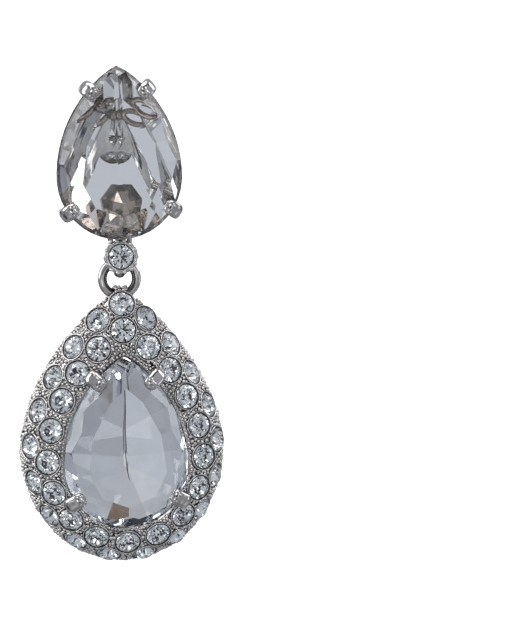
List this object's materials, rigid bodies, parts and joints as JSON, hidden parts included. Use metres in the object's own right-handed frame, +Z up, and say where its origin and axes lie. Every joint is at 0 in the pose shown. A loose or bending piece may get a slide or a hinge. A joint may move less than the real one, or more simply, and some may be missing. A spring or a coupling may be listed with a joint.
{
  "type": "teardrop earring",
  "caption": "Drop earring with a claw-set pear stone, a link stone and a jump ring carrying a pear stone in a domed frame of small round stones.",
  "frame": {"origin": "root of the ear post, on the flat back of the upper setting", "axes": "+Z up along the earring as it hangs, front with the stones at -Y, ear post along +Y"},
  "size_m": [0.0212, 0.0174, 0.0521],
  "materials": {
    "metal": "polished, slightly warm silver plate",
    "crystal": "clear cut crystal with a mirror foil behind"
  },
  "bodies": {
    "ear": {"ear_setting": "metal", "ear_stone": "crystal", "link_stone": "crystal", "ear_post": "metal"},
    "ring": {"jump_ring": "metal"},
    "drop": {"halo_frame": "metal", "drop_stone": "crystal", "pave_inner_01": "crystal", "pave_inner_02": "crystal", "pave_inner_03": "crystal", "pave_inner_04": "crystal", "pave_inner_05": "crystal", "pave_inner_06": "crystal", "pave_inner_07": "crystal", "pave_inner_08": "crystal", "pave_inner_09": "crystal", "pave_inner_10": "crystal", "pave_inner_11": "crystal", "pave_inner_12": "crystal", "pave_inner_13": "crystal", "pave_inner_14": "crystal", "pave_inner_15": "crystal", "pave_inner_16": "crystal", "pave_inner_17": "crystal", "pave_inner_18": "crystal", "pave_outer_01": "crystal", "pave_outer_02": "crystal", "pave_outer_03": "crystal", "pave_outer_04": "crystal", "pave_outer_05": "crystal", "pave_outer_06": "crystal", "pave_outer_07": "crystal", "pave_outer_08": "crystal", "pave_outer_09": "crystal", "pave_outer_10": "crystal", "pave_outer_11": "crystal", "pave_outer_12": "crystal", "pave_outer_13": "crystal", "pave_outer_14": "crystal", "pave_outer_15": "crystal", "pave_outer_16": "crystal", "pave_outer_17": "crystal", "pave_outer_18": "crystal", "pave_outer_19": "crystal"}
  },
  "joints": [
    {"name": "ring_swing", "type": "hinge", "parent": "ear", "child": "ring", "pos_m": [0, -0.0017, -0.01152], "axis": [1, 0, 0], "range_deg": [-45, 40]},
    {"name": "drop_sway", "type": "hinge", "parent": "ring", "child": "drop", "pos_m": [0, -0.00159, -0.01332], "axis": [0, 0.9982, 0.0593], "range_deg": [-25, 25]}
  ]
}
